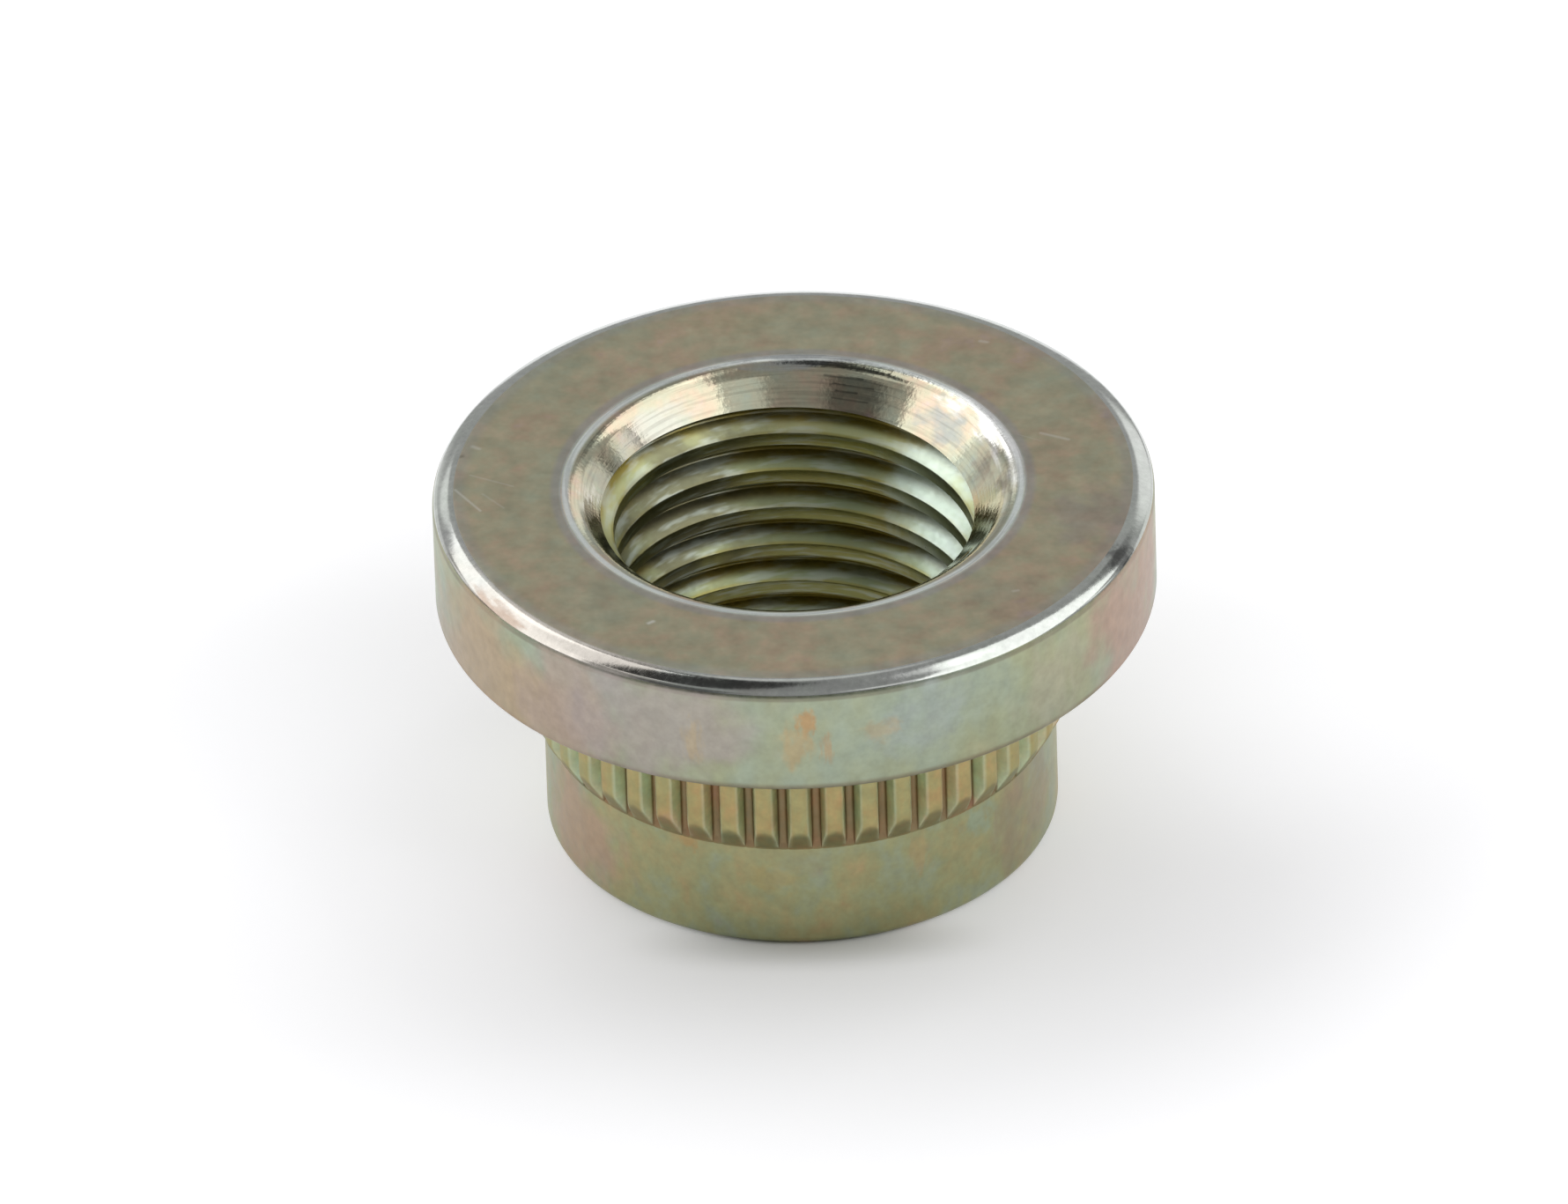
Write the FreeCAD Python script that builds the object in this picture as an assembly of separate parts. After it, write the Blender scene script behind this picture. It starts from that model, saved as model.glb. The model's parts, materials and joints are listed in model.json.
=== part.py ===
# Self-clinching nut, turned and rolled from one piece of steel.
# All sizes are in millimetres. The axis is Z, and the nut stands on its pilot end, with the origin on the
# axis in that end's plane. The flange is at the top.

import FreeCAD, Part
import math
import os

# Thread, a fine one for a 3/8 inch screw with 24 turns to the inch.
# The bore here is the plain hole at the thread's minor diameter, with the tap's tolerance in it.
thread_major_diameter = 9.525
thread_pitch = 25.4 / 24
minor_diameter_allowance = 0.12
bore_diameter = thread_major_diameter - 1.0825 * thread_pitch + minor_diameter_allowance

# Countersinks at the two ends of the bore. Their cones have an included angle of 90 degrees.
countersink_angle = 90.0
countersink_margin = 0.76
pilot_countersink_margin = 0.4
countersink_diameter = thread_major_diameter + countersink_margin
pilot_countersink_diameter = thread_major_diameter + pilot_countersink_margin
countersink_lip_radius = 0.8

# Pilot, the plain end that guides the nut into the hole in the sheet.
pilot_diameter = 12.1
pilot_length = 2.8
pilot_edge_radius = 0.25

# Ribbed collar, which presses into the sheet. Its ribs are what is left between grooves along the axis.
# The grooves have flat floors, a little deeper than the pilot's surface, and run out onto the pilot in a ramp.
rib_count = 48
rib_height = 0.375
collar_length = 3.35
collar_end_bevel = 0.6
rib_flank_angle = 13.0
rib_crown_share = 0.49
groove_floor_depth = 0.05
groove_ramp_length = 0.18
groove_overrun = 0.03

# Flange, with a shallow bevel turned round its top edge.
flange_overhang = 2.075
flange_thickness = 2.85
flange_lower_edge_radius = 0.15
edge_bevel_width = 0.42
edge_bevel_angle = 23.0
edge_bevel_blend_radius = 0.8

# How far the groove cutter stands out past the collar.
cutter_clearance = 0.2

AXIS_POINT = FreeCAD.Vector(0, 0, 0)
AXIS = FreeCAD.Vector(0, 0, 1)

bore_radius = bore_diameter / 2
pilot_radius = pilot_diameter / 2
collar_radius = pilot_radius + rib_height
flange_radius = collar_radius + flange_overhang
flange_underside = pilot_length + collar_length
total_height = flange_underside + flange_thickness


def slope(angle):
    """Return the tangent of an angle in degrees."""
    return math.tan(math.radians(angle))


def blended_outline(corners):
    """Return a closed wire through (radius, height, rounding) corners in the XZ plane.

    A rounding above zero replaces the corner with an arc that is tangent to both of its sides.
    """
    stretches = []
    for index, (radius, height, rounding) in enumerate(corners):
        corner = FreeCAD.Vector(radius, 0, height)
        before = FreeCAD.Vector(corners[index - 1][0], 0, corners[index - 1][1])
        following = corners[(index + 1) % len(corners)]
        after = FreeCAD.Vector(following[0], 0, following[1])
        if rounding == 0:
            stretches.append((corner, None, corner))
            continue
        towards_before = (before - corner).normalize()
        towards_after = (after - corner).normalize()
        half_angle = towards_before.getAngle(towards_after) / 2
        reach = rounding / math.tan(half_angle)
        bisector = (towards_before + towards_after).normalize()
        middle = corner + bisector * (rounding / math.sin(half_angle) - rounding)
        stretches.append((corner + towards_before * reach, middle, corner + towards_after * reach))
    edges = []
    for index, (start, middle, end) in enumerate(stretches):
        if middle is not None:
            edges.append(Part.Arc(start, middle, end).toShape())
        next_start = stretches[(index + 1) % len(stretches)][0]
        edges.append(Part.makeLine(end, next_start))
    return Part.Wire(edges)


def revolved(corners):
    """Return the solid made by turning an outline once round the axis."""
    return Part.Face(blended_outline(corners)).revolve(AXIS_POINT, AXIS, 360)


def turned_blank():
    """Return the nut as it leaves the lathe: flange, smooth collar, pilot, bore and countersinks."""
    cone_slope = slope(90 - countersink_angle / 2)
    top_cone_depth = (countersink_diameter / 2 - bore_radius) * cone_slope
    pilot_cone_depth = (pilot_countersink_diameter / 2 - bore_radius) * cone_slope
    edge_bevel_drop = edge_bevel_width * slope(edge_bevel_angle)
    return revolved([
        (bore_radius, pilot_cone_depth, 0),
        (pilot_countersink_diameter / 2, 0, 0),
        (pilot_radius, 0, pilot_edge_radius),
        (pilot_radius, pilot_length, 0),
        (collar_radius, pilot_length + collar_end_bevel, 0),
        (collar_radius, flange_underside, 0),
        (flange_radius, flange_underside, flange_lower_edge_radius),
        (flange_radius, total_height - edge_bevel_drop, 0),
        (flange_radius - edge_bevel_width, total_height, edge_bevel_blend_radius),
        (countersink_diameter / 2, total_height, countersink_lip_radius),
        (bore_radius, total_height - top_cone_depth, 0),
    ])


def prism(corners, direction):
    """Return the solid made by pushing a flat outline straight along a direction."""
    return Part.Face(Part.makePolygon(corners + corners[:1])).extrude(direction)


def groove_cutter():
    """Return the tool for one groove on +X: a flat floor between sloped flanks, with a ramp at its foot."""
    half_pitch_angle = math.pi / rib_count
    half_opening_angle = (1 - rib_crown_share) * half_pitch_angle
    flank_slope = slope(rib_flank_angle + math.degrees(half_pitch_angle))
    mouth_x = collar_radius * math.cos(half_opening_angle)
    mouth_half_width = collar_radius * math.sin(half_opening_angle)
    floor_x = pilot_radius - groove_floor_depth
    floor_half_width = mouth_half_width - (mouth_x - floor_x) * flank_slope
    outer_x = collar_radius + cutter_clearance
    outer_half_width = mouth_half_width + (outer_x - mouth_x) * flank_slope
    section = prism([
        FreeCAD.Vector(floor_x, floor_half_width, 0),
        FreeCAD.Vector(outer_x, outer_half_width, 0),
        FreeCAD.Vector(outer_x, -outer_half_width, 0),
        FreeCAD.Vector(floor_x, -floor_half_width, 0),
    ], AXIS * flange_underside)
    groove_foot = pilot_length - groove_overrun
    side_reach = FreeCAD.Vector(0, -outer_half_width, 0)
    side = prism([
        FreeCAD.Vector(floor_x, 0, flange_underside) + side_reach,
        FreeCAD.Vector(floor_x, 0, groove_foot + groove_ramp_length) + side_reach,
        FreeCAD.Vector(pilot_radius, 0, groove_foot) + side_reach,
        FreeCAD.Vector(outer_x, 0, groove_foot) + side_reach,
        FreeCAD.Vector(outer_x, 0, flange_underside) + side_reach,
    ], side_reach * -2)
    return section.common(side)


def groove_cutters():
    """Return the tools for all grooves. A rib is centred on +X, so the first groove is half a pitch away."""
    cutter = groove_cutter()
    copies = []
    for index in range(rib_count):
        copy = cutter.copy()
        copy.rotate(AXIS_POINT, AXIS, (index + 0.5) * 360 / rib_count)
        copies.append(copy)
    return copies


def nut_body():
    """Return the finished nut as one solid."""
    return turned_blank().cut(groove_cutters()).removeSplitter()


os.makedirs("parts", exist_ok=True)
shape = nut_body()
solid = shape.Solids[0]
bounds = solid.optimalBoundingBox(True, False)
print("solids", len(shape.Solids), "valid", solid.isValid(), "faces", len(solid.Faces))
print("height", round(bounds.ZLength, 3), "across flange", round(bounds.XLength, 3))
print("bore", round(bore_diameter, 4), "volume", round(solid.Volume, 2))
solid.exportStep("parts/nut_body.step")
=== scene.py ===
"""Looks of a self-clinching nut: its tapped, ribbed body in yellow passivated zinc, on a pale studio floor.

All driving sizes are in millimetres and degrees. Blender's own unit here is the metre, so a length is
multiplied by MM where it goes into a mesh.
"""

from __future__ import annotations

import json
import logging
import math
from dataclasses import dataclass, field
from enum import Enum

import bpy
from mathutils import Matrix, Quaternion, Vector

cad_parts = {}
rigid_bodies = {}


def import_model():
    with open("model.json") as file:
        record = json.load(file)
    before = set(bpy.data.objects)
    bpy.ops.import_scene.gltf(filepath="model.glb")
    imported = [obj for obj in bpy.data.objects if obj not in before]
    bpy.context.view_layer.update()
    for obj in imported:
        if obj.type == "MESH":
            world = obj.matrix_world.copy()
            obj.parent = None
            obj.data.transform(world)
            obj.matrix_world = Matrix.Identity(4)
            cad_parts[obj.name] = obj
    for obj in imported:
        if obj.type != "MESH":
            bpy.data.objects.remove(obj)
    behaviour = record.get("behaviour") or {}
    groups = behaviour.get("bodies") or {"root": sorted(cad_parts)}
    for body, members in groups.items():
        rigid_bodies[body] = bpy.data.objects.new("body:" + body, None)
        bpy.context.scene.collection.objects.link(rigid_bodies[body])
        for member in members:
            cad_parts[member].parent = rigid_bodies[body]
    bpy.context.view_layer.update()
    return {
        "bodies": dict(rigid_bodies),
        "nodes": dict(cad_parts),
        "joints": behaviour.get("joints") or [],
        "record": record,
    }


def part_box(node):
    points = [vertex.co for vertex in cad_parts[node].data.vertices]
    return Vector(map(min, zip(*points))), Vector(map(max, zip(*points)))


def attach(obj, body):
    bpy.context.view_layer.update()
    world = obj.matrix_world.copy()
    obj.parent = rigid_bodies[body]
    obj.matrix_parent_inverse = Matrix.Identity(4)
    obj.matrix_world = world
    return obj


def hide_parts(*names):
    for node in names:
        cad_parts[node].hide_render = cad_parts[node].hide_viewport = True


logging.basicConfig(level=logging.INFO, format="%(name)s: %(message)s")
LOG = logging.getLogger("nut")

MM = 0.001
NODE_NAME = "nut_body"
PIECE_NAME = "nut_body_finish"

# Points of a mesh that lie closer together than this are welded, in metres.
WELD_DISTANCE = 1e-6
# What a unit vector at 45 degrees to two axes has along each of them.
DIAGONAL = 0.707

Colour = tuple[float, float, float]
Point = tuple[float, float]
Place = tuple[float, float, float]

WHITE = (1.0, 1.0, 1.0)


def grey(level: float) -> Colour:
    """Return the grey of a level."""
    return (level, level, level)


@dataclass(frozen=True)
class Corner:
    """One corner of an outline in the (radius, height) plane.

    Attributes:
        radius: Distance from the axis.
        height: Height above the floor.
        rounding: Radius of the arc that replaces the corner, or 0.
        segments: How many straight pieces the arc has.
    """

    radius: float
    height: float
    rounding: float = 0.0
    segments: int = 1


def rounded_outline(corners: list[Corner], closed: bool) -> list[Point]:
    """Replace each rounded corner of an outline by the points of its arc.

    Args:
        corners: The outline's corners in order.
        closed: Whether the last corner leads back to the first.

    Returns:
        The outline's points. A corner with rounding gives its segments plus one.
    """
    points: list[Point] = []
    last = len(corners) - 1
    for index, corner in enumerate(corners):
        here = Vector((corner.radius, corner.height))
        at_end = not closed and index in (0, last)
        if corner.rounding == 0 or at_end:
            points.append((here.x, here.y))
            continue
        before = corners[index - 1]
        after = corners[(index + 1) % len(corners)]
        towards_before = (Vector((before.radius, before.height)) - here).normalized()
        towards_after = (Vector((after.radius, after.height)) - here).normalized()
        half_angle = towards_before.angle(towards_after) / 2
        reach = corner.rounding / math.tan(half_angle)
        start = here + towards_before * reach
        end = here + towards_after * reach
        bisector = (towards_before + towards_after).normalized()
        centre = here + bisector * (corner.rounding / math.sin(half_angle))
        turn = (start - centre).angle_signed(end - centre)
        for step in range(corner.segments + 1):
            arm = (start - centre).copy()
            arm.rotate(Matrix.Rotation(-turn * step / corner.segments, 2))
            point = centre + arm
            points.append((point.x, point.y))
    return points


@dataclass
class NutSizes:
    """The nut's own sizes, in millimetres and degrees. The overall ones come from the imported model."""

    flange_radius: float
    total_height: float
    flange_underside: float
    pilot_radius: float
    crest_radius: float
    thread_major_radius: float = 4.7625
    thread_pitch: float = 25.4 / 24
    thread_flank_angle: float = 30.0
    crest_flat_middle: float = 7.4245
    crest_flat_middle_angle: float = 90.95
    countersink_radius: float = 5.1425
    pilot_countersink_radius: float = 4.9625
    pilot_countersink_rounding: float = 0.06
    countersink_lip_rounding: float = 0.8
    pilot_length: float = 2.8
    pilot_edge_rounding: float = 0.25
    rib_count: int = 48
    rib_height: float = 0.375
    rib_flank_angle: float = 13.0
    rib_crown_share: float = 0.49
    rib_edge_rounding: float = 0.14
    rib_root_rounding: float = 0.06
    rib_end_rounding: float = 0.7
    rib_foot_rounding: float = 0.15
    collar_end_bevel: float = 0.6
    groove_floor_depth: float = 0.05
    groove_ramp_length: float = 0.18
    groove_overrun: float = 0.03
    flange_lower_edge_rounding: float = 0.09
    edge_bevel_width: float = 0.42
    edge_bevel_angle: float = 23.0
    edge_bevel_blend: float = 0.8
    edge_crease_rounding: float = 0.2

    @classmethod
    def from_frame(cls, frame: dict) -> NutSizes:
        """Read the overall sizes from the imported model.


        Returns:
            The nut's sizes.
        """
        low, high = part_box(NODE_NAME)
        mounts = {mount["name"]: mount for mount in frame["record"]["mounts"]}
        return cls(
            flange_radius=high.x / MM,
            total_height=(high.z - low.z) / MM,
            flange_underside=mounts["flange_seat"]["pos_m"][2] / MM,
            pilot_radius=mounts["pilot"]["dims"]["r_mm"],
            crest_radius=mounts["thread"]["dims"]["r_mm"],
        )

    @property
    def collar_radius(self) -> float:
        """Radius over the ribs' crowns."""
        return self.pilot_radius + self.rib_height

    @property
    def groove_floor_radius(self) -> float:
        """Radius of the flat floors between the ribs."""
        return self.pilot_radius - self.groove_floor_depth

    @property
    def lip_reach(self) -> float:
        """How far the rounding of the countersink's lip goes from its corner, each way."""
        return self.countersink_lip_rounding * math.tan(math.radians(22.5))


def mesh_object(name: str, vertices: list[Place], faces: list[list[int]]) -> bpy.types.Object:
    """Make an object from vertices in millimetres, and link it to the scene.

    Args:
        name: The object's name.
        vertices: Places in millimetres.
        faces: Corner indices of each face, counter-clockwise from outside.

    Returns:
        The new object.
    """
    mesh = bpy.data.meshes.new(name)
    mesh.from_pydata([Vector(vertex) * MM for vertex in vertices], [], faces)
    made = bpy.data.objects.new(name, mesh)
    bpy.context.scene.collection.objects.link(made)
    return made


def sector_mesh(
    name: str, columns: list[tuple[float, list[Point]]], rise_per_turn: float, closed: bool
) -> bpy.types.Object:
    """Skin a row of outlines, each at its own angle, into one sector of a turned or screwed surface.

    Args:
        name: The new object's name.
        columns: For each angle in degrees, the outline in (radius, height), all with as many points.
        rise_per_turn: How far the surface climbs in a full turn.
        closed: Whether each outline is a closed loop.

    Returns:
        The sector as an object.
    """
    vertices = []
    for angle, outline in columns:
        turn = math.radians(angle)
        lift = rise_per_turn * angle / 360
        for radius, height in outline:
            vertices.append((radius * math.cos(turn), radius * math.sin(turn), height + lift))
    count = len(columns[0][1])
    faces = []
    for column in range(len(columns) - 1):
        for row in range(count if closed else count - 1):
            here = column * count + row
            above = column * count + (row + 1) % count
            faces.append([here, here + count, above + count, above])
    return mesh_object(name, vertices, faces)


@dataclass
class RibbedBlank:
    """The nut before it is tapped: flange, ribbed collar, pilot and countersinks round a plain hole.

    Attributes:
        sizes: The nut's sizes.
        hole_radius: Radius of the plain hole. The tap takes away all of its wall.
        pilot_margin: How far under the ribs the pilot's wall has its last row of points.
        collar_margin: How far under the flange the collar has its last row of points.
        seat_margin: How far outside the ribs the flange's underside has its first row of points.
    """

    sizes: NutSizes
    hole_radius: float = 3.9
    pilot_margin: float = 0.14
    collar_margin: float = 0.1
    seat_margin: float = 0.08

    def rib_section(self) -> list[Point]:
        """Work out one rib pitch across the collar, from the middle of a groove to the middle of the next.

        Returns:
            Points as (angle in degrees from the rib's middle, radius), from the lowest angle up.
        """
        sizes = self.sizes
        half_pitch = 180 / sizes.rib_count
        crown_edge_angle = math.radians(half_pitch * sizes.rib_crown_share)
        flank_slope = math.tan(math.radians(sizes.rib_flank_angle))
        crown_y = sizes.collar_radius * math.sin(crown_edge_angle)
        crown_x = sizes.collar_radius * math.cos(crown_edge_angle)
        floor = sizes.groove_floor_radius
        groove_angle = math.radians(half_pitch)
        # The flank meets the floor, a flat plane square to the groove's middle.
        floor_y = crown_y + (crown_x - floor) * flank_slope
        floor_x = (floor - floor_y * math.sin(groove_angle)) / math.cos(groove_angle)
        half = rounded_outline(
            [
                Corner(sizes.collar_radius, 0),
                Corner(crown_x, crown_y, sizes.rib_edge_rounding, 4),
                Corner(floor_x, floor_y, sizes.rib_root_rounding, 2),
                Corner(floor * math.cos(groove_angle), floor * math.sin(groove_angle)),
            ],
            closed=False,
        )
        polar = [(math.degrees(math.atan2(y, x)), math.hypot(x, y)) for x, y in half]
        mirrored = [(-angle, radius) for angle, radius in reversed(polar[1:])]
        return mirrored + polar

    def collar_foot(self, section_radius: float) -> list[Corner]:
        """Work out where a line up the collar leaves the pilot and reaches its own radius.

        Args:
            section_radius: The collar's radius on that line, anything from groove floor to rib crown.

        Returns:
            The three corners at the foot of the line, lowest one first. That one keeps the pilot's wall true.
        """
        sizes = self.sizes
        proud = section_radius - sizes.pilot_radius
        if proud > 0:
            top = sizes.pilot_length + sizes.collar_end_bevel * proud / sizes.rib_height
            foot = sizes.pilot_length
        else:
            foot = sizes.pilot_length - sizes.groove_overrun
            top = foot + sizes.groove_ramp_length * -proud / sizes.groove_floor_depth
        length = math.hypot(top - foot, proud)
        # Shares of the length keep the two arcs, which turn through the same angle, apart.
        foot_rounding = min(sizes.rib_foot_rounding, length * 0.5)
        end_rounding = min(sizes.rib_end_rounding, length * 1.4)
        return [
            Corner(sizes.pilot_radius, sizes.pilot_length - self.pilot_margin),
            Corner(sizes.pilot_radius, foot, foot_rounding, 2),
            Corner(section_radius, top, end_rounding, 4),
        ]

    def outline(self, section_radius: float) -> list[Point]:
        """Draw the blank's closed outline where the collar has the given radius.

        Args:
            section_radius: The collar's radius at this angle.

        Returns:
            The outline's points, from the hole's lower end outwards and over the top.
        """
        sizes = self.sizes
        top = sizes.total_height
        bevel_drop = sizes.edge_bevel_width * math.tan(math.radians(sizes.edge_bevel_angle))
        cone_depth = sizes.countersink_radius - self.hole_radius
        pilot_cone_depth = sizes.pilot_countersink_radius - self.hole_radius
        return rounded_outline(
            [
                Corner(self.hole_radius, pilot_cone_depth),
                Corner(sizes.pilot_countersink_radius, 0, sizes.pilot_countersink_rounding, 2),
                Corner(sizes.pilot_radius, 0, sizes.pilot_edge_rounding, 5),
                *self.collar_foot(section_radius),
                Corner(section_radius, sizes.flange_underside - self.collar_margin),
                Corner(section_radius, sizes.flange_underside),
                Corner(sizes.collar_radius + self.seat_margin, sizes.flange_underside),
                Corner(sizes.flange_radius, sizes.flange_underside, sizes.flange_lower_edge_rounding, 4),
                Corner(sizes.flange_radius, top - bevel_drop, sizes.edge_crease_rounding, 4),
                Corner(sizes.flange_radius - sizes.edge_bevel_width, top, sizes.edge_bevel_blend, 4),
                Corner(sizes.countersink_radius, top, sizes.countersink_lip_rounding, 8),
                Corner(self.hole_radius, top - cone_depth),
            ],
            closed=True,
        )

    def build_sector(self) -> bpy.types.Object:
        """Build the sector of one rib pitch, which the pattern repeats round the axis."""
        columns = [(angle, self.outline(radius)) for angle, radius in self.rib_section()]
        return sector_mesh("blank_sector", columns, 0, closed=True)


@dataclass
class ThreadTap:
    """The screw-shaped tool that cuts the thread: the form of the thread with plain ends, as one solid.

    Attributes:
        sizes: The nut's sizes.
        columns_per_turn: How many outlines stand round the axis.
        overhang: How far the screw goes past the nut at both ends, before its ends are made plain.
        crest_edge_rounding: Rounding of the edges of the nut's crests.
        root_rounding: Rounding in the nut's roots.
        full_length_margin: How far past the nut's ends the screw keeps its full depth.
        fade_length: Length in which it then fades into a plain shank.
        shank_clearance: How far the shank stays inside the nut's crests.
        depth_clearance: How far outside the nut's roots the fade begins.
    """

    sizes: NutSizes
    columns_per_turn: int = 288
    overhang: float = 1.6
    crest_edge_rounding: float = 0.04
    root_rounding: float = 0.08
    full_length_margin: float = 0.3
    fade_length: float = 0.8
    shank_clearance: float = 0.001
    depth_clearance: float = 0.1

    def thread_form(self) -> list[Point]:
        """Draw one pitch of the thread, from the middle of one crest flat of the nut up to the next.

        Returns:
            Points as (radius, height above the crest flat's middle), without the last one, which repeats.
        """
        sizes = self.sizes
        depth = sizes.thread_major_radius - sizes.crest_radius
        flank_rise = depth * math.tan(math.radians(sizes.thread_flank_angle))
        # A unified thread leaves an eighth of its pitch flat at the root.
        root_flat = sizes.thread_pitch / 8
        crest_flat = sizes.thread_pitch - root_flat - 2 * flank_rise
        middle = sizes.thread_pitch / 2
        corners = [
            Corner(sizes.crest_radius, 0),
            Corner(sizes.crest_radius, crest_flat / 2, self.crest_edge_rounding, 2),
            Corner(sizes.thread_major_radius, middle - root_flat / 2, self.root_rounding, 2),
            Corner(sizes.thread_major_radius, middle + root_flat / 2, self.root_rounding, 2),
            Corner(sizes.crest_radius, sizes.thread_pitch - crest_flat / 2, self.crest_edge_rounding, 2),
            Corner(sizes.crest_radius, sizes.thread_pitch),
        ]
        return rounded_outline(corners, closed=False)[:-1]

    def build_sector(self) -> bpy.types.Object:
        """Build the sector between two neighbouring columns. It closes at the axis at both ends."""
        sizes = self.sizes
        form = self.thread_form()
        start = sizes.crest_flat_middle - sizes.thread_pitch * sizes.crest_flat_middle_angle / 360
        lowest = math.floor((-self.overhang - start) / sizes.thread_pitch) - 1
        highest = math.ceil((sizes.total_height + self.overhang - start) / sizes.thread_pitch)
        outline = [(0.0, start + lowest * sizes.thread_pitch)]
        for turn in range(lowest, highest + 1):
            for radius, height in form:
                outline.append((radius, start + turn * sizes.thread_pitch + height))
        outline.append((0.0, outline[-1][1]))
        step = 360 / self.columns_per_turn
        columns = [(0.0, outline), (step, outline)]
        return sector_mesh("tap_sector", columns, sizes.thread_pitch, closed=False)

    def build(self, patterns: Patterns) -> bpy.types.Object:
        """Build the whole tap.

        Args:
            patterns: The Geometry Nodes trees.

        Returns:
            The tap's object, with its trees as modifiers.
        """
        sizes = self.sizes
        tap = self.build_sector()
        add_tree(
            tap,
            patterns.sector_pattern,
            {
                "Copies": self.columns_per_turn,
                "Rise Per Turn": sizes.thread_pitch * MM,
                "Weld Distance": WELD_DISTANCE,
            },
        )
        add_tree(
            tap,
            patterns.plain_ends,
            {
                "Bottom": -self.full_length_margin * MM,
                "Top": (sizes.total_height + self.full_length_margin) * MM,
                "Fade Length": self.fade_length * MM,
                "Plain Radius": (sizes.crest_radius - self.shank_clearance) * MM,
                "Full Radius": (sizes.thread_major_radius + self.depth_clearance) * MM,
                "Weld Distance": WELD_DISTANCE,
            },
        )
        return tap


class NodeTree:
    """A thin helper for laying out nodes: it makes, fills and links them in one call each."""

    def __init__(self, tree: bpy.types.NodeTree) -> None:
        """Keep the tree that the nodes go into."""
        self.tree = tree
        self.columns = 0

    def add(self, kind: str, inputs: dict | None = None, **settings: object) -> bpy.types.Node:
        """Add one node. Its own properties, such as a group's tree, are set before its inputs.

        Args:
            kind: The node's type name.
            inputs: For each input, by name or number, a value or the output socket that feeds it.
            settings: Properties of the node itself.

        Returns:
            The new node.
        """
        node = self.tree.nodes.new(kind)
        node.location = (self.columns * 180, 0)
        self.columns += 1
        for key, value in settings.items():
            setattr(node, key, value)
        for key, value in (inputs or {}).items():
            self.feed(node.inputs[key], value)
        return node

    def feed(self, socket: bpy.types.NodeSocket, value: object) -> None:
        """Link a socket to an output, or set its value. A colour goes without its alpha."""
        if isinstance(value, bpy.types.NodeSocket):
            self.tree.links.new(value, socket)
        elif socket.type == "RGBA":
            socket.default_value = (*value, 1)
        else:
            socket.default_value = value

    def math(self, operation: str, *operands: object, clamp: bool = False) -> bpy.types.NodeSocket:
        """Add a Math node and return its result."""
        inputs = dict(enumerate(operands))
        return self.add("ShaderNodeMath", inputs, operation=operation, use_clamp=clamp).outputs[0]

    def vector_math(self, operation: str, *operands: object) -> bpy.types.NodeSocket:
        """Add a Vector Math node and return its result, a vector or a number."""
        node = self.add("ShaderNodeVectorMath", dict(enumerate(operands)), operation=operation)
        gives_number = operation in ("LENGTH", "DISTANCE", "DOT_PRODUCT")
        return node.outputs["Value" if gives_number else "Vector"]

    def scaled(self, vector: object, factor: object) -> bpy.types.NodeSocket:
        """Multiply a vector by a number."""
        return self.add("ShaderNodeVectorMath", {0: vector, "Scale": factor}, operation="SCALE").outputs[0]

    def combine(self, x: object, y: object, z: object) -> bpy.types.NodeSocket:
        """Make a vector of three values."""
        return self.add("ShaderNodeCombineXYZ", {"X": x, "Y": y, "Z": z}).outputs[0]

    def split(self, vector: object) -> list[bpy.types.NodeSocket]:
        """Take a vector apart into its three values."""
        return list(self.add("ShaderNodeSeparateXYZ", {"Vector": vector}).outputs)

    def fade(self, value: object, start: object, end: object) -> bpy.types.NodeSocket:
        """Return 1 where a value is at or below start, 0 at or above end, and a soft step between."""
        inputs = {"Value": value, "From Min": start, "From Max": end, "To Min": 1.0, "To Max": 0.0}
        return self.add("ShaderNodeMapRange", inputs, interpolation_type="SMOOTHSTEP").outputs[0]

    def noise(self, place: object, seed: object, detail: float) -> bpy.types.NodeSocket:
        """Return noise from 0 to 1 with features about one unit across."""
        inputs = {"Vector": place, "W": seed, "Scale": 1.0, "Detail": detail}
        return self.add("ShaderNodeTexNoise", inputs, noise_dimensions="4D").outputs[0]

    def mix(self, share: object, first: object, second: object, blend: str = "MIX") -> bpy.types.NodeSocket:
        """Blend two colours by a share from 0 to 1."""
        # A Mix node has its colour sockets at these places.
        inputs = {0: share, 6: first, 7: second}
        return self.add("ShaderNodeMix", inputs, data_type="RGBA", blend_type=blend).outputs[2]

    def ramp(self, value: object, stops: list[tuple[float, Colour]]) -> bpy.types.NodeSocket:
        """Return the colour that a value has on a ramp of (place, colour) stops."""
        node = self.add("ShaderNodeValToRGB", {"Fac": value})
        elements = node.color_ramp.elements
        while len(elements) < len(stops):
            elements.new(1.0)
        for element, (place, colour) in zip(elements, stops):
            element.position = place
            element.color = (*colour, 1)
        return node.outputs["Color"]

    def group(self, tree: bpy.types.NodeTree, inputs: dict[str, object]) -> bpy.types.NodeOutputs:
        """Place a shader group with its inputs and return its outputs."""
        return self.add("ShaderNodeGroup", inputs, node_tree=tree).outputs


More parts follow.
